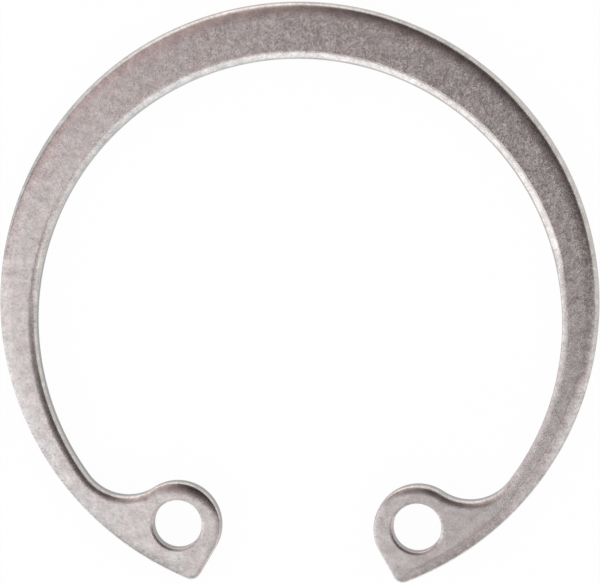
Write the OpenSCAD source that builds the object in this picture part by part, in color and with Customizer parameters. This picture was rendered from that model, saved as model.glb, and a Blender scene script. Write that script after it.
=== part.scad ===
// Internal retaining ring for a bore, lying flat with its two lugs toward -Y.
// The origin is on the axis of the outer rim, at the lower face. All sizes are in mm.

/* [Ring] */
// Outside diameter of the free ring
outer_d = 34.4; // [33.6:0.1:36]
// Thickness of the sheet the ring is stamped from
thickness = 1.2; // [1:0.05:1.6]
// Width of the section at the back, opposite the gap, where it is widest
section_back = 3.25; // [2.8:0.05:3.6]
// Width the tapering section would come down to at the middle of the gap
section_tip = 0.95; // [0.9:0.05:1.3]

/* [Lugs] */
// Height of a lug, from the outer rim inward
lug_height = 5.05; // [4.8:0.05:5.4]
// Radius of the round inner end of a lug
lug_r = 2.55; // [2.4:0.05:2.75]
// Radius of the hollow between the section and its lug
lug_fillet_r = 2.8; // [1.8:0.1:3.4]
// Lean of a lug's straight end away from the line through the gap, in degrees
end_lean = 30; // [20:1:38]
// Radius of a lug's outer corner
corner_r = 0.55; // [0.4:0.05:0.8]

/* [Plier holes] */
// Diameter of a plier hole
hole_d = 2.8; // [2.5:0.05:2.95]
// Distance between the two plier holes' centres
hole_spacing = 13.8; // [12.8:0.1:15]
// Distance of a plier hole's centre from the outer rim
hole_inset = 2.6; // [2.5:0.05:2.75]
// Radius round a plier hole's rims
hole_rim_r = 0.1; // [0.05:0.05:0.15]

/* [Edges] */
// Radius of the tight bend of the upper edge, where it meets the wall
edge_r = 0.25; // [0.2:0.05:0.3]
// Distance from the outline at which the upper face starts to roll over
roll_w = 0.55; // [0.5:0.05:0.6]
// Radius of that gentle roll
roll_r = 1.2; // [0.8:0.1:1.6]
// Radius of the lower edge
lower_edge_r = 0.1; // [0.05:0.05:0.15]

/* [Hidden] */
$fn = 96;

// How far the cutting shapes reach past the faces
past = 1;
// How far neighbouring arcs overlap, so that they meet in a clean line: along the outline, and over an edge
lap = 0.001;
edge_lap = 0.0002;
// Radius the turned cuts leave at their own axis, which the gap's cut clears
core_r = 0.01;

// The rim, and the inner arc whose centre lies off the rim's toward the gap
outer_r = outer_d / 2;
inner_r = outer_r - (section_back + section_tip) / 2;
inner_shift = (section_back - section_tip) / 2;
inner_c = [0, -inner_shift];

// A plier hole, and the round of its lug on the same line from the rim's centre
hole_r = hole_d / 2;
hole_line = asin(hole_spacing / 2 / (outer_r - hole_inset));
hole_c = (outer_r - hole_inset) * [sin(hole_line), -cos(hole_line)];
lug_c = (outer_r - lug_height + lug_r) * [sin(hole_line), -cos(hole_line)];

// The hollow, which touches the inner arc from within and the lug's round from outside
to_lug = norm(lug_c - inner_c);
toward_lug = (lug_c - inner_c) / to_lug;
hollow_from_inner = inner_r - lug_fillet_r;
hollow_from_lug = lug_r + lug_fillet_r;
hollow_along = (hollow_from_inner ^ 2 - hollow_from_lug ^ 2 + to_lug ^ 2) / (2 * to_lug);
hollow_across = sqrt(hollow_from_inner ^ 2 - hollow_along ^ 2);
hollow_c = inner_c + hollow_along * toward_lug + hollow_across * [-toward_lug[1], toward_lug[0]];
hollow_start = atan2(hollow_c[1] - inner_c[1], hollow_c[0] - inner_c[0]);
hollow_end = atan2(hollow_c[1] - lug_c[1], hollow_c[0] - lug_c[0]);

// The straight end of the lug, by the direction it faces, and the corner on the rim
end_facing = 180 + end_lean;
end_normal = [cos(end_facing), sin(end_facing)];
end_run = [-end_normal[1], end_normal[0]];
corner_off = lug_c * end_normal + lug_r - corner_r;
corner_c = corner_off * end_normal + sqrt((outer_r - corner_r) ^ 2 - corner_off ^ 2) * end_run;
corner_end = 360 + atan2(corner_c[1], corner_c[0]);
end_start = lug_c + (lug_r - lap) * end_normal;
end_length = (corner_c - lug_c) * end_run;

// The upper edge: the tight bend's centre is as high as lets the gentle roll run into it
edge_z = thickness - roll_r + sqrt((roll_r - edge_r) ^ 2 - (roll_w - edge_r) ^ 2);
roll_z = thickness - roll_r;
bend_dir = [edge_r - roll_w, edge_z - roll_z] / (roll_r - edge_r);
bend_top = [edge_r, edge_z] + edge_r * bend_dir;
slope = -bend_dir[0] / bend_dir[1];
slope_w = 1.2 * (thickness - bend_top[1]) / slope;

// The room outside the wall and over the rolled edge: x is measured from the wall into the part
module edge_room(reach) {
    difference() {
        polygon([
            [-reach, -past],
            [lower_edge_r, -past],
            [lower_edge_r, lower_edge_r],
            [0, lower_edge_r],
            [0, edge_z],
            [roll_w, edge_z],
            [roll_w, thickness + past],
            [-reach, thickness + past]
        ]);
        translate([edge_r, edge_z]) circle(r = edge_r + edge_lap);
        translate([lower_edge_r, lower_edge_r]) circle(r = lower_edge_r + edge_lap);
        intersection() {
            translate([roll_w, roll_z + edge_lap]) circle(r = roll_r);
            translate([roll_w, roll_z])
                polygon([[0, 0], 2 * roll_r * bend_dir, [roll_r, 2 * roll_r], [roll_r, 0]]);
        }
    }
}

// The same room at the small corner, where the tight bend runs on in a straight slope
module corner_room(reach) {
    difference() {
        polygon([
            [-reach, -past],
            [lower_edge_r, -past],
            [lower_edge_r, lower_edge_r],
            [0, lower_edge_r],
            [0, edge_z],
            [edge_r, edge_z],
            bend_top,
            bend_top + slope_w * [1, slope],
            [bend_top[0] + slope_w, thickness + past],
            [-reach, thickness + past]
        ]);
        translate([edge_r, edge_z]) circle(r = edge_r + edge_lap);
        translate([lower_edge_r, lower_edge_r]) circle(r = lower_edge_r + edge_lap);
    }
}

// Cuts the disc to the outer rim
module rim_cut() {
    rotate_extrude() translate([outer_r, 0]) mirror([1, 0]) edge_room(past);
}

// Cuts out the inside as far as the hollows
module inner_cut() {
    translate(inner_c)
        rotate([0, 0, hollow_start])
            rotate_extrude(angle = 180 - 2 * hollow_start)
                translate([inner_r, 0]) edge_room(inner_r - core_r);
}

// Cuts the hollow beside a lug
module hollow_cut() {
    nudge = lap * [cos(hollow_start) - cos(hollow_end), sin(hollow_start) - sin(hollow_end)];
    translate(hollow_c + nudge)
        rotate_extrude() translate([lug_fillet_r, 0]) edge_room(lug_fillet_r - core_r);
}

// Cuts round the inner end of a lug
module lug_cut() {
    translate(lug_c)
        rotate([0, 0, hollow_end])
            rotate_extrude(angle = end_facing - hollow_end)
                translate([lug_r, 0]) mirror([1, 0]) edge_room(2 * past);
}

// Cuts a lug's straight end
module end_cut() {
    translate(end_start)
        rotate([90, 0, end_facing + 180])
            translate([0, 0, -past])
                linear_extrude(height = end_length + 3 * past) edge_room(2 * past);
}

// Cuts a lug's outer corner
module corner_cut() {
    translate(corner_c)
        rotate([0, 0, end_facing])
            rotate_extrude(angle = corner_end - end_facing)
                translate([corner_r + lap, 0]) mirror([1, 0]) corner_room(past);
}

// Clears what is left between the lugs, well inside the cuts above
module gap_cut() {
    side = concat(
        [hollow_c + lug_fillet_r / 2 * [cos(hollow_start), sin(hollow_start)]],
        [for (i = [0:8]) let (a = hollow_end + (end_facing - hollow_end) * i / 8)
            lug_c + (lug_r + past) * [cos(a), sin(a)]],
        [lug_c + (lug_r + past) * end_normal + (end_length + 2 * past) * end_run]
    );
    across = [for (i = [len(side) - 1:-1:0]) [-side[i][0], side[i][1]]];
    translate([0, 0, -past])
        linear_extrude(height = thickness + 2 * past)
            polygon(concat([[0, lug_fillet_r]], side, across));
}

// A plier hole with its two rounded rims
module plier_hole() {
    translate(hole_c)
        rotate_extrude()
            difference() {
                polygon([
                    [0, -past],
                    [hole_r + hole_rim_r, -past],
                    [hole_r + hole_rim_r, hole_rim_r],
                    [hole_r, hole_rim_r],
                    [hole_r, thickness - hole_rim_r],
                    [hole_r + hole_rim_r, thickness - hole_rim_r],
                    [hole_r + hole_rim_r, thickness + past],
                    [0, thickness + past]
                ]);
                for (z = [hole_rim_r, thickness - hole_rim_r]) {
                    translate([hole_r + hole_rim_r, z]) circle(r = hole_rim_r + edge_lap);
                }
            }
}

// Repeats a lug's cut on the other lug
module both_lugs() {
    children();
    mirror([1, 0, 0]) children();
}

// The ring is cut from a plain disc in this order, one step at a time
module rimmed_disc() {
    difference() {
        cylinder(h = thickness, r = outer_r + past / 2);
        rim_cut();
    }
}

module opened_disc() {
    difference() {
        rimmed_disc();
        inner_cut();
    }
}

module parted_ring() {
    difference() {
        opened_disc();
        gap_cut();
    }
}

module hollowed_ring() {
    difference() {
        parted_ring();
        both_lugs() hollow_cut();
    }
}

module rounded_lugs() {
    difference() {
        hollowed_ring();
        both_lugs() lug_cut();
    }
}

module squared_lugs() {
    difference() {
        rounded_lugs();
        both_lugs() end_cut();
    }
}

module cornered_lugs() {
    difference() {
        squared_lugs();
        both_lugs() corner_cut();
    }
}

module retaining_ring() {
    color("silver")
        difference() {
            cornered_lugs();
            both_lugs() plier_hole();
        }
}

retaining_ring();
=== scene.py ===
"""Internal retaining ring: a stamped and tumbled spring steel ring on a pale studio floor."""
import math

import bmesh
import bpy
from mathutils import Matrix, Vector


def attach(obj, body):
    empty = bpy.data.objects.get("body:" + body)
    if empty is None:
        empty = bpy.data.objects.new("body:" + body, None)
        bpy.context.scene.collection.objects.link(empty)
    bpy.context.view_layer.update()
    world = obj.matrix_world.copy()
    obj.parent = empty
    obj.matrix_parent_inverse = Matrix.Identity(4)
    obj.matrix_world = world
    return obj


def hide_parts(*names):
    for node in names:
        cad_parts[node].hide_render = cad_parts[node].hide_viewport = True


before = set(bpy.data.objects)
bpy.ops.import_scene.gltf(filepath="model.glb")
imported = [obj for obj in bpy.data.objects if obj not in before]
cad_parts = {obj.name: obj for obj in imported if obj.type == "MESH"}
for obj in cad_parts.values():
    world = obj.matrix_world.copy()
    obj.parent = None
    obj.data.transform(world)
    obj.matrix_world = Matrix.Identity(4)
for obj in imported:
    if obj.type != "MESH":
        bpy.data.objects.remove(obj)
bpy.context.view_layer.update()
scene = bpy.context.scene
scene.view_settings.view_transform = "Standard"

MM = 0.001

# The ring's sizes, in mm, as in the solid model
OUTER_R = 17.2
THICKNESS = 1.2
SECTION_BACK = 3.25
SECTION_TIP = 0.95
LUG_HEIGHT = 5.05
LUG_R = 2.55
HOLLOW_R = 2.8
END_LEAN = math.radians(30)
CORNER_R = 0.55
HOLE_R = 1.4
HOLE_SPACING = 13.8
HOLE_INSET = 2.6
LOWER_EDGE_R = 0.1


def even(*sizes):
    """Edge sizes that are the same whichever way the edge faces."""
    return sizes, sizes


# The upper edge where it faces up in the picture, and where it faces away: radius of the tight bend and
# width of the whole roll, in mm, slope in degrees where the two meet, and how fast that slope fades
EDGES = {
    "rim": ((0.27, 1.05, 19, 2.4), (0.08, 0.62, 7, 0.8)),
    "shoulder": ((0.33, 1.05, 19, 2.4), (0.08, 0.62, 7, 0.8)),
    "right_rim": even(0.10, 0.72, 9, 0.12),
    "foot": even(0.08, 0.64, 8.5, 0.35),
    "left_foot": even(0.08, 0.70, 6, 0.5),
    "corner": even(0.08, 0.40, 5, 1.5),
    "end": even(0.08, 0.40, 5, 1.5),
    "lug": ((0.16, 0.74, 28, 2.2), (0.10, 0.50, 5, 1.5)),
    "left_lug": ((0.18, 0.82, 18, 1.2), (0.10, 0.50, 5, 1.5)),
    "hollow": even(0.14, 0.62, 28, 2.0),
    "hole": ((0.05, 0.22, 18, 1.0), (0.04, 0.12, 8, 1.0)),
    "inner": ((0.22, 0.57, 22, 1.2), (0.30, 0.46, 30, 0.45)),
    "right_arm": even(0.12, 0.40, 9, 1.0),
}
# What an edge of the right half is called on the left half, where its sizes differ
LEFT_NAMES = {
    "shoulder": "rim",
    "right_rim": "rim",
    "foot": "left_foot",
    "lug": "left_lug",
    "right_arm": "inner",
}
# The way that counts as up, how far toward it an edge faces where its first sizes start to give way, and
# over what range they do
EDGE_FACING = math.radians(72)
EDGE_TURN = (0.35, 0.7)
EDGE_TURNS = {"lug": (0.93, 0.4), "left_lug": (0.93, 0.4), "hole": (0.0, 0.5)}
# Where the rim's stretches start and where the inner arc's right arm ends, as angles from the right
SHOULDER_FROM = math.radians(45)
RIGHT_RIM_FROM = math.radians(-15)
FOOT_FROM = math.radians(-43)
ARM_TO = math.radians(13)
# How far along the outline two edges blend, in mm
EDGE_BLEND = 1.2

# How finely the outline is drawn, in mm or in steps
ARC_STEP = 0.2
LUG_STEP = 0.08
CORNER_STEP = 0.05
END_STEPS = 12
HOLE_STEPS = 120
# How finely the wall's profile is drawn, and the strip of flat face beside each edge, in mm
LOWER_STEPS = 5
WALL_STEPS = 3
BEND_STEPS = 10
ROLL_STEPS = 14
LIP = 0.03
# The profile's steps up to the foot of the upper bend, which are wall and not face
UPRIGHT_STEPS = LOWER_STEPS + WALL_STEPS + 2
# How far in from the rim a face may lie and still be the outer wall, in mm
NEAR_RIM = 0.2

# The steel's finishes, in the order of their numbers: warmer and cooler colour of its patches, colour of its
# burnished edges, and tint at a low angle
FINISHES = {
    "tumbled_spring_steel": {
        "warm": (0.628, 0.542, 0.536, 1),
        "cool": (0.606, 0.543, 0.541, 1),
        "burnished": (0.575, 0.548, 0.540, 1),
        "edge_tint": (0.70, 0.68, 0.66, 1),
    },
    # The walls inside the ring: a darker sheared finish, partly real and partly painted shade for the
    # shadowed floor they reflect
    "sheared_wall_steel_painted_shade": {
        "warm": (0.465, 0.45, 0.455, 1),
        "cool": (0.455, 0.45, 0.455, 1),
        "burnished": (0.46, 0.45, 0.455, 1),
        "edge_tint": (0.55, 0.545, 0.555, 1),
    },
    "rim_wall_steel": {
        "warm": (0.55, 0.54, 0.52, 1),
        "cool": (0.54, 0.535, 0.525, 1),
        "burnished": (0.545, 0.54, 0.52, 1),
        "edge_tint": (0.64, 0.64, 0.62, 1),
    },
}
# The finishes' numbers; the sheared one holds painted shade on the walls inside the ring
TUMBLED, SHEARED_PAINTED_SHADE, RIM_WALL = range(len(FINISHES))
# Heights, in mm, between which the wall takes on the face's grain and the burnished roll becomes the tumbled
# face, and the share of the grain that the wall has
GRAIN_FROM, GRAIN_TO = 0.85, 1.08
FLAT_FROM, FLAT_TO = 1.12, 1.19
WALL_GRAIN = 0.2
# Facets, patches of tone and patches of hue in a metre, how ragged the patches are, and how much each kind
# of grain changes the tone
FACETS, PATCHES, HUES = 10500.0, 1600.0, 800.0
PATCH_DETAIL, HUE_DETAIL, RAGGED = 4.0, 3.0, 0.6
FACET_TONE, PATCH_TONE, SPECK_TONE, PIT_TONE = 0.28, 0.90, 0.12, 0.16
# Mean of a facet's random number and of the noise, and the range in which a facet is a speck or a pit
MEAN = 0.5
RARE = (0.96, 0.99)
# Range of the hue's noise from the warmer to the cooler colour
HUE_SPAN = (0.35, 0.65)
# The facets' lean, the way across the ring in which it grows, from where to where, in mm, and its shares
FACET_LEAN = 0.085
COARSE_WAY = (0.545, 0.839, 0)
COARSE_REACH = (1, 15)
COARSE_SHARE = (0.40, 0.86)
# Roughness of the burnished edges, and what the face and its patches add
EDGE_ROUGH, FACE_ROUGH, PATCH_ROUGH = 0.18, 0.096, 0.02
# Scratches on the upper face: from and to, half their width, all in mm, and how much they darken the steel
SCRATCHES = (
    ((14.61, -5.74), (15.30, -6.95), 0.045, 0.30),
    ((8.47, -12.96), (9.40, -12.92), 0.045, 0.30),
    ((6.24, -15.33), (7.27, -15.07), 0.045, 0.16),
)


class Sock:
    """A shader socket: arithmetic on it adds Math nodes, and node() adds any other node."""

    def __init__(self, tree, out=None):
        self.tree, self.out = tree, out

    def node(self, kind, settings=None, output=0, **sockets):
        """A new node's output. Its sockets go by name, or by number as in i0."""
        made = self.tree.nodes.new("ShaderNode" + kind)
        for key, value in (settings or {}).items():
            setattr(made, key, value)
        for key, value in sockets.items():
            number = key[1:] if key[0] == "i" else ""
            target = made.inputs[int(number) if number.isdigit() else key.replace("_", " ")]
            if isinstance(value, Sock):
                self.tree.links.new(value.out, target)
            else:
                target.default_value = value
        return Sock(self.tree, made.outputs[output] if made.outputs else None)

    def math(self, operation, *terms):
        sockets = {f"i{i}": term for i, term in enumerate(terms)}
        return self.node("Math", {"operation": operation}, **sockets)

    def vector(self, operation, output=0, **sockets):
        return self.node("VectorMath", {"operation": operation}, output, **sockets)

    def ramp(self, start, end, low=0.0, high=1.0):
        """A smooth step from low to high as this value goes from start to end."""
        smooth = {"interpolation_type": "SMOOTHSTEP"}
        return self.node("MapRange", smooth, i0=self, i1=start, i2=end, i3=low, i4=high)

    def blend(self, first, second):
        """The colour that lies this far from first to second."""
        return self.node("Mix", {"data_type": "RGBA"}, output=2, i0=self, i6=first, i7=second)

    def __add__(self, other):
        return self.math("ADD", self, other)

    def __radd__(self, other):
        return self.math("ADD", other, self)

    def __sub__(self, other):
        return self.math("SUBTRACT", self, other)

    def __rsub__(self, other):
        return self.math("SUBTRACT", other, self)

    def __mul__(self, other):
        return self.math("MULTIPLY", self, other)

    def __rmul__(self, other):
        return self.math("MULTIPLY", other, self)

    def __truediv__(self, other):
        return self.math("DIVIDE", self, other)

    def __rtruediv__(self, other):
        return self.math("DIVIDE", other, self)


def new_tree(owner):
    """An empty node tree on a material or world."""
    owner.use_nodes = True
    owner.node_tree.nodes.clear()
    return Sock(owner.node_tree)


def polar(angle):
    return Vector((math.cos(angle), math.sin(angle)))


def lug_line():
    """The angle between the gap's middle line and the line from the ring's centre to a plier hole."""
    return math.asin(HOLE_SPACING / 2 / (OUTER_R - HOLE_INSET))


def right_half():
    """The outline's right half, from its outer to its inner edge: points, outward normals and edge names."""
    rim_c = Vector((0, 0))
    inner_r = OUTER_R - (SECTION_BACK + SECTION_TIP) / 2
    inner_c = Vector((0, (SECTION_TIP - SECTION_BACK) / 2))
    lug_c = (OUTER_R - LUG_HEIGHT + LUG_R) * polar(lug_line() - math.pi / 2)

    # The hollow touches the inner arc from within and the lug from outside
    apart = (lug_c - inner_c).length
    ahead = (lug_c - inner_c) / apart
    near, far = inner_r - HOLLOW_R, LUG_R + HOLLOW_R
    along = (near ** 2 - far ** 2 + apart ** 2) / (2 * apart)
    beside = math.sqrt(near ** 2 - along ** 2)
    hollow_c = inner_c + along * ahead + beside * Vector((-ahead.y, ahead.x))
    to_inner = math.atan2(*(hollow_c - inner_c).yx)
    to_lug = math.atan2(*(hollow_c - lug_c).yx)

    # The corner touches the straight end and the rim from within
    facing = math.pi + END_LEAN
    out, run = polar(facing), polar(facing + math.pi / 2)
    off = lug_c @ out + LUG_R - CORNER_R
    corner_c = off * out + math.sqrt((OUTER_R - CORNER_R) ** 2 - off ** 2) * run
    turn = math.atan2(corner_c.y, corner_c.x)
    found = []

    def arc(name, c, r, start, end, step, side=1):
        count = max(2, math.ceil(abs(end - start) * r / step))
        for i in range(count):
            n = polar(start + (end - start) * i / count)
            found.append((c + r * n, side * n, name))

    arc("rim", rim_c, OUTER_R, math.pi / 2, SHOULDER_FROM, ARC_STEP)
    arc("shoulder", rim_c, OUTER_R, SHOULDER_FROM, RIGHT_RIM_FROM, ARC_STEP)
    arc("right_rim", rim_c, OUTER_R, RIGHT_RIM_FROM, FOOT_FROM, ARC_STEP)
    arc("foot", rim_c, OUTER_R, FOOT_FROM, turn, ARC_STEP)
    arc("corner", corner_c, CORNER_R, turn + 2 * math.pi, facing, CORNER_STEP)
    begin, end = corner_c + CORNER_R * out, lug_c + LUG_R * out
    for i in range(END_STEPS):
        found.append((begin.lerp(end, i / END_STEPS), out, "end"))
    arc("lug", lug_c, LUG_R, facing, to_lug, LUG_STEP)
    arc("hollow", hollow_c, HOLLOW_R, to_lug + math.pi, to_inner + 2 * math.pi, LUG_STEP, -1)
    arc("right_arm", inner_c, inner_r, to_inner, ARM_TO, ARC_STEP, -1)
    arc("inner", inner_c, inner_r, ARM_TO, math.pi / 2, ARC_STEP, -1)
    found.append((inner_c + Vector((0, inner_r)), Vector((0, -1)), "inner"))
    return found


def outline():
    """The whole outline as one loop of points, outward normals and edge names."""
    half = right_half()
    flip = Vector((-1, 1))
    left = [(p * flip, n * flip, LEFT_NAMES.get(name, name)) for p, n, name in half[-2:0:-1]]
    return half + left


def hole(side):
    """The plier hole of the right lug, for a side of 1, or of the left one, for -1."""
    line = lug_line()
    c = (OUTER_R - HOLE_INSET) * Vector((side * math.sin(line), -math.cos(line)))
    turns = [polar(2 * math.pi * i / HOLE_STEPS) for i in range(HOLE_STEPS)]
    return [(c + HOLE_R * n, -n, "hole") for n in turns]


def edge_sizes(loop):
    """The upper edge's sizes at each point of a loop, blended along it."""
    sizes = []
    for _, n, name in loop:
        upper, lower = EDGES[name]
        start, span = EDGE_TURNS.get(name, EDGE_TURN)
        turned = min(1, max(0, (start - n @ polar(EDGE_FACING)) / span))
        sizes.append(Vector(upper).lerp(Vector(lower), turned))
    count = len(loop)
    steps = [(loop[(i + 1) % count][0] - loop[i][0]).length for i in range(count)]
    blended = []
    for i in range(count):
        total, weight = Vector((0, 0, 0, 0)), 0.0
        for way in (1, -1):
            gone, j = 0.0, i
            while gone < EDGE_BLEND:
                share = (1 - gone / EDGE_BLEND) * (steps[j] + steps[j - 1])
                total += share * sizes[j]
                weight += share
                gone += steps[j] if way > 0 else steps[j - 1]
                j = (j + way) % count
        blended.append(total / weight)
    return blended


def edge_profile(bend_r, roll_w, slope, fade):
    """The wall and its two edges from below to above: distance in from the outline, and height."""
    slope = math.radians(slope)
    bend_w = bend_r * (1 - math.sin(slope))
    drop = (roll_w - bend_w) * math.tan(slope) / (fade + 1)
    bend_z = THICKNESS - drop - bend_r * math.cos(slope)
    low = LOWER_EDGE_R
    found = [(low + LIP, 0.0)]
    for i in range(LOWER_STEPS + 1):
        a = math.pi / 2 * i / LOWER_STEPS
        found.append((low - low * math.sin(a), low - low * math.cos(a)))
    for i in range(1, WALL_STEPS):
        found.append((0.0, low + (bend_z - low) * i / WALL_STEPS))
    for i in range(BEND_STEPS + 1):
        a = (math.pi / 2 - slope) * i / BEND_STEPS
        found.append((bend_r - bend_r * math.cos(a), bend_z + bend_r * math.sin(a)))
    for i in range(1, ROLL_STEPS + 1):
        x = i / ROLL_STEPS
        found.append((bend_w + (roll_w - bend_w) * x, THICKNESS - drop * (1 - x) ** (fade + 1)))
    found.append((roll_w + LIP, THICKNESS))
    return found


def wall_finish_and_shade(place):
    """The number of the wall's finish at a place: the rim's own near the rim, and elsewhere the sheared one.
    Its darker colour is partly a real sheared finish and partly painted shade for the shadowed floor that
    the walls inside the ring reflect.
    """
    return RIM_WALL if place.xy.length > OUTER_R - NEAR_RIM else SHEARED_PAINTED_SHADE


def drawn_to(v, fresh):
    """The fresh vertex that v was drawn to."""
    return next(e.other_vert(v) for e in v.link_edges if e.other_vert(v) in fresh)


def draw_wall(bm, loop):
    """Draws a loop's wall up its profile, step by step, and returns its lowest and highest edges."""
    profiles = [edge_profile(*sizes) for sizes in edge_sizes(loop)]
    row = [bm.verts.new((p.x, p.y, 0)) for p, _, _ in loop]
    lowest = [bm.edges.new((v, row[i - 1])) for i, v in enumerate(row)]
    edges, drawn = lowest, []
    for step in range(len(profiles[0])):
        if step:
            drawn = bmesh.ops.extrude_edge_only(bm, edges=edges)["geom"]
            fresh = {v for v in drawn if isinstance(v, bmesh.types.BMVert)}
            row = [drawn_to(v, fresh) for v in row]
            edges = [bm.edges.get((v, row[i - 1])) for i, v in enumerate(row)]
        for v, (p, n, _), profile in zip(row, loop, profiles):
            inward, height = profile[step]
            v.co = (*(p - inward * n), height)
        for face in drawn:
            if isinstance(face, bmesh.types.BMFace):
                # Upright faces inside the ring get the sheared finish with its painted shade, and those near
                # the rim get the rim's own
                upright = step < UPRIGHT_STEPS
                face.material_index = wall_finish_and_shade(face.calc_center_median()) if upright else TUMBLED
    return lowest, edges


def ring_mesh():
    """The ring: walls drawn up round its outline and holes, closed by two flat faces."""
    bm = bmesh.new()
    walls = [draw_wall(bm, loop) for loop in (outline(), hole(1), hole(-1))]
    for rings in zip(*walls):
        bmesh.ops.triangle_fill(bm, edges=sum(rings, []), use_beauty=True, use_dissolve=False)
    bmesh.ops.recalc_face_normals(bm, faces=bm.faces)
    bmesh.ops.scale(bm, vec=(MM, MM, MM), verts=bm.verts)
    for face in bm.faces:
        face.smooth = True
    mesh = bpy.data.meshes.new("stamped_ring")
    bm.to_mesh(mesh)
    bm.free()
    return mesh


def scratch(x, y, start, end, half_width, depth):
    """How much one scratch darkens the steel at x and y."""
    start, way = Vector(start) * MM, (Vector(end) - Vector(start)) * MM
    off_x, off_y = x - start.x, y - start.y
    along = (off_x * way.x + off_y * way.y) / way.length_squared
    along = along.math("MINIMUM", along.math("MAXIMUM", along, 0.0), 1.0)
    off_x, off_y = off_x - along * way.x, off_y - along * way.y
    off = along.math("SQRT", off_x * off_x + off_y * off_y)
    return off.ramp(0.0, half_width * MM, depth, 0.0)


def steel_material(name, warm, cool, burnished, edge_tint):
    """Tumbled steel: fine leaning facets, specks, pits, soft patches of tone and a few scratches."""
    material = bpy.data.materials.new(name)
    t = new_tree(material)
    place = t.node("TexCoord", output="Object")
    x, y, z = (t.node("SeparateXYZ", output=i, Vector=place) for i in range(3))
    # Height counts from the middle both ways, so that the underside has the upper face's finish
    middle = THICKNESS / 2 * MM
    height = middle + t.math("ABSOLUTE", z - middle)
    face = WALL_GRAIN + (1 - WALL_GRAIN) * height.ramp(GRAIN_FROM * MM, GRAIN_TO * MM)
    upper = z.ramp(GRAIN_FROM * MM, GRAIN_TO * MM)
    flat = height.ramp(FLAT_FROM * MM, FLAT_TO * MM)

    facets = t.node("TexVoronoi", output="Color", Vector=place, Scale=FACETS)
    bright, pit, speck = (t.node("SeparateColor", output=i, Color=facets) for i in range(3))
    noise = {"output": "Fac", "Vector": place, "Roughness": RAGGED}
    patches = t.node("TexNoise", Scale=PATCHES, Detail=PATCH_DETAIL, **noise)
    hue = t.node("TexNoise", Scale=HUES, Detail=HUE_DETAIL, **noise)

    # Each facet leans its own way
    reach = t.vector("DOT_PRODUCT", "Value", i0=place, i1=COARSE_WAY)
    coarse = reach.ramp(COARSE_REACH[0] * MM, COARSE_REACH[1] * MM, *COARSE_SHARE)
    lean_share = WALL_GRAIN + (1 - WALL_GRAIN) * flat
    lean = t.vector("SUBTRACT", i0=facets, i1=(MEAN, MEAN, MEAN))
    lean = t.vector("SCALE", i0=lean, Scale=FACET_LEAN * coarse * lean_share)
    level = t.node("NewGeometry", output="Normal")
    normal = t.vector("NORMALIZE", i0=t.vector("ADD", i0=level, i1=lean))

    tone = FACET_TONE * (bright - MEAN) + PATCH_TONE * (patches - MEAN)
    tone = tone + SPECK_TONE * speck.ramp(*RARE) - PIT_TONE * pit.ramp(*RARE)
    tone = 1.0 + face * tone
    for line in SCRATCHES:
        tone = tone - upper * scratch(x, y, *line)
    colour = flat.blend(burnished, hue.ramp(*HUE_SPAN).blend(warm, cool))
    multiply = {"data_type": "RGBA", "blend_type": "MULTIPLY"}
    colour = t.node("Mix", multiply, output=2, i0=1.0, i6=colour, i7=tone)
    rough = EDGE_ROUGH + FACE_ROUGH * flat + PATCH_ROUGH * patches
    steel = t.node(
        "BsdfPrincipled", Base_Color=colour, Metallic=1.0, Roughness=rough, Normal=normal,
        Specular_Tint=edge_tint)
    t.node("OutputMaterial", Surface=steel)
    return material


ring = bpy.data.objects.new("stamped_ring", ring_mesh())
scene.collection.objects.link(ring)
for name, finish in FINISHES.items():
    ring.data.materials.append(steel_material(name, **finish))
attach(ring, "root")
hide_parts("retaining_ring")

# The floor: its size in metres, how far it lies under the ring in mm, its colours, and how much of the white
# is mixed into what the camera and the steel see of it
FLOOR_SIZE = 6.0
FLOOR_GAP = 0.02
FLOOR_PALE = (0.9, 0.9, 0.9, 1)
FLOOR_WHITE = (1, 1, 1, 1)
WHITE_SHARE = 0.97


def floor_material():
    """White to the camera and in the steel, and a pale matt floor to the lamps, which keeps the shadow."""
    material = bpy.data.materials.new("pale_floor")
    t = new_tree(material)
    camera_ray = t.node("LightPath", output="Is Camera Ray")
    glossy_ray = t.node("LightPath", output="Is Glossy Ray")
    through_ray = t.node("LightPath", output="Is Transmission Ray")
    seen = t.math("MAXIMUM", t.math("MAXIMUM", camera_ray, glossy_ray), through_ray)
    pale = t.node("BsdfDiffuse", Color=FLOOR_PALE)
    glow = t.node("Emission", Color=FLOOR_WHITE, Strength=1.0)
    both = t.node("MixShader", i0=WHITE_SHARE * seen, i1=pale, i2=glow)
    t.node("OutputMaterial", Surface=both)
    return material


bpy.ops.mesh.primitive_plane_add(size=FLOOR_SIZE, location=(0, 0, -FLOOR_GAP * MM))
floor = bpy.context.object
floor.name = "studio_floor"
floor.data.materials.append(floor_material())

# The camera stands above the ring, a little toward the upper right of the picture
TILT_X, TILT_Y, ROLL = math.radians(4.574), math.radians(4.402), math.radians(-0.328)
DISTANCE = 300 * MM
PICTURE_W = 600
PX_PER_MM = 17.438
SENSOR_W = 36
CLIP_START = 10 * MM
# How far the picture's middle lies from the ring's centre, across and up, in pixels
MIDDLE_PX = (0.97, 10.57)


def look_at(stand, target):
    """The camera's directions across, up and back, as the rows of a matrix."""
    back = (stand - target).normalized()
    across = Vector((math.sin(ROLL), math.cos(ROLL), 0)).cross(back).normalized()
    return Matrix((across, back.cross(across), back))


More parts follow.
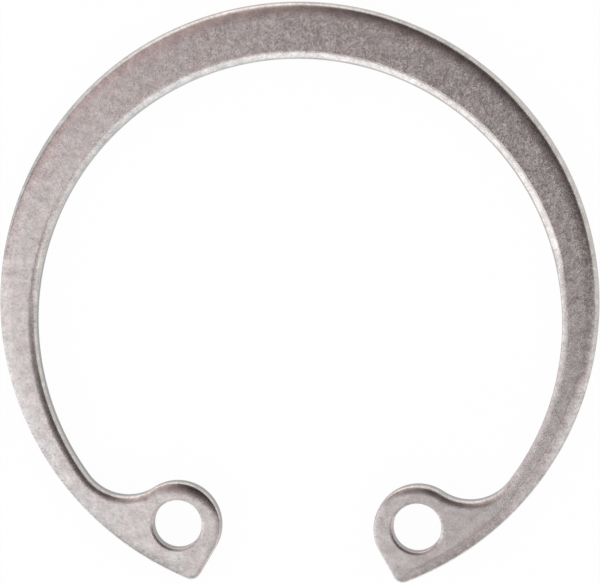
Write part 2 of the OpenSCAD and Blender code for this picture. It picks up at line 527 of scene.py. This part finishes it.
camera = bpy.data.objects.new("camera", bpy.data.cameras.new("camera"))
scene.collection.objects.link(camera)
scene.camera = camera
centre = Vector((0, 0, THICKNESS / 2 * MM))
stand = centre + DISTANCE * Vector((math.tan(TILT_X), math.tan(TILT_Y), 1)).normalized()
across, up, _ = look_at(stand, centre)
target = centre + (MIDDLE_PX[0] * across + MIDDLE_PX[1] * up) * (MM / PX_PER_MM)
camera.matrix_world = Matrix.Translation(stand) @ look_at(stand, target).transposed().to_4x4()
camera.data.sensor_width = SENSOR_W
camera.data.lens = PX_PER_MM * DISTANCE / MM / PICTURE_W * SENSOR_W
camera.data.clip_start = CLIP_START

# Soft lamps overhead, which face straight down: how far each one reaches across and up the picture, in
# metres, its brightness and its colour
LAMP_HEIGHT = 0.30
LAMPS = {
    "key_panel": ((-0.240, -0.035), (-0.108, -0.004), 1.46, (0.91, 1, 1)),
    "warm_panel": ((-0.200, -0.037), (-0.004, 0.140), 0.65, (1, 0.83, 0.815)),
    "low_panel": ((-0.035, 0.005), (-0.058, -0.034), 3.30, (0.93, 1, 1)),
}


def panel(name, wide, long, radiance, colour):
    """A soft lamp of one even brightness."""
    lamp = bpy.data.lights.new(name, "AREA")
    lamp.shape = "RECTANGLE"
    lamp.size, lamp.size_y = wide[1] - wide[0], long[1] - long[0]
    lamp.energy = radiance * math.pi * lamp.size * lamp.size_y
    lamp.color = colour
    obj = bpy.data.objects.new(name, lamp)
    obj.location = (sum(wide) / 2, sum(long) / 2, LAMP_HEIGHT)
    scene.collection.objects.link(obj)


for name, lamp in LAMPS.items():
    panel(name, *lamp)

# Level directions toward the picture's upper right, where the camera stands, and its lower right
UPPER_RIGHT = polar(math.radians(44)).to_3d()
LOWER_RIGHT = Vector((UPPER_RIGHT.y, -UPPER_RIGHT.x, 0))
# How far toward the upper right the middle of the ceiling's dark round lies
DARK_MIDDLE = 0.37
# The room's brightness and colour
ROOM = {
    "dark_ceiling": (0.05, 0.037, 0.036, 1),
    "high_left": (0.72, 0.60, 0.55, 1),
    "right": (1.52, 1.50, 1.50, 1),
    "far_right": (0.85, 0.83, 0.83, 1),
    "low": (0.26, 0.23, 0.22, 1),
    "lowest": (1.20, 1.20, 1.19, 1),
    "front_wall": (1.52, 1.55, 1.55, 1),
    "front_wall_right": (1.10, 1.18, 1.20, 1),
    "front_wall_left": (0.80, 0.85, 0.87, 1),
    "back_wall": (0.98, 0.95, 0.90, 1),
    "back_wall_left": (1.55, 1.50, 1.44, 1),
}
# Where one part of the room runs into the next, as parts of a direction whose length is 1
SPANS = {
    "dark_round": (0.30, 0.52),
    "dark_strip": (0.14, 0.32),
    "past_camera": (0.52, 0.64),
    "right_side": (-0.2, 0.2),
    "far_right": (0.38, 0.52),
    "not_low": (-0.25, -0.10),
    "low": (-0.25, -0.35),
    "lowest": (-0.40, -0.52),
    "left": (0.0, -0.14),
    "high": (0.34, 0.48),
    "wall_left": (-0.30, -0.85),
    "wall_right": (0.45, 0.90),
    "front_to_back": (-0.4, 0.4),
    "ceiling_to_walls": (0.82, 0.74),
}


def studio_room():
    """A pale room: soft walls all round, and a ceiling dark over the camera and bright at its right."""
    world = bpy.data.worlds.new("studio")
    scene.world = world
    w = new_tree(world)
    look = w.node("TexCoord", output="Generated")
    right, up, height = (w.node("SeparateXYZ", output=i, Vector=look) for i in range(3))
    toward = w.vector("DOT_PRODUCT", "Value", i0=look, i1=UPPER_RIGHT)
    aside = w.vector("DOT_PRODUCT", "Value", i0=look, i1=LOWER_RIGHT)

    # The ceiling's bright part lies outside the dark round and strip, or past the camera, on the right
    ahead = toward - DARK_MIDDLE
    outside = w.math("SQRT", ahead * ahead + aside * aside).ramp(*SPANS["dark_round"])
    beside = w.math("ABSOLUTE", aside).ramp(*SPANS["dark_strip"])
    past = toward.ramp(*SPANS["past_camera"])
    clear = w.math("MAXIMUM", past, w.math("MINIMUM", outside, beside))
    clear = clear * aside.ramp(*SPANS["right_side"])
    far_right = right.ramp(*SPANS["far_right"]) * up.ramp(*SPANS["not_low"])
    low = up.ramp(*SPANS["lowest"]).blend(ROOM["low"], ROOM["lowest"])
    bright = far_right.blend(ROOM["right"], ROOM["far_right"])
    bright = up.ramp(*SPANS["low"]).blend(bright, low)
    high_left = right.ramp(*SPANS["left"]) * up.ramp(*SPANS["high"])
    dark = high_left.blend(ROOM["dark_ceiling"], ROOM["high_left"])
    ceiling = clear.blend(dark, bright)

    # The front wall is the one toward the lower left, and the back wall the one toward the upper right
    left = aside.ramp(*SPANS["wall_left"])
    front_wall = aside.ramp(*SPANS["wall_right"]).blend(ROOM["front_wall"], ROOM["front_wall_right"])
    front_wall = left.blend(front_wall, ROOM["front_wall_left"])
    back_wall = left.blend(ROOM["back_wall"], ROOM["back_wall_left"])
    walls = toward.ramp(*SPANS["front_to_back"]).blend(front_wall, back_wall)
    around = height.ramp(*SPANS["ceiling_to_walls"]).blend(ceiling, walls)
    w.node("OutputWorld", Surface=w.node("Background", Color=around, Strength=1.0))


studio_room()
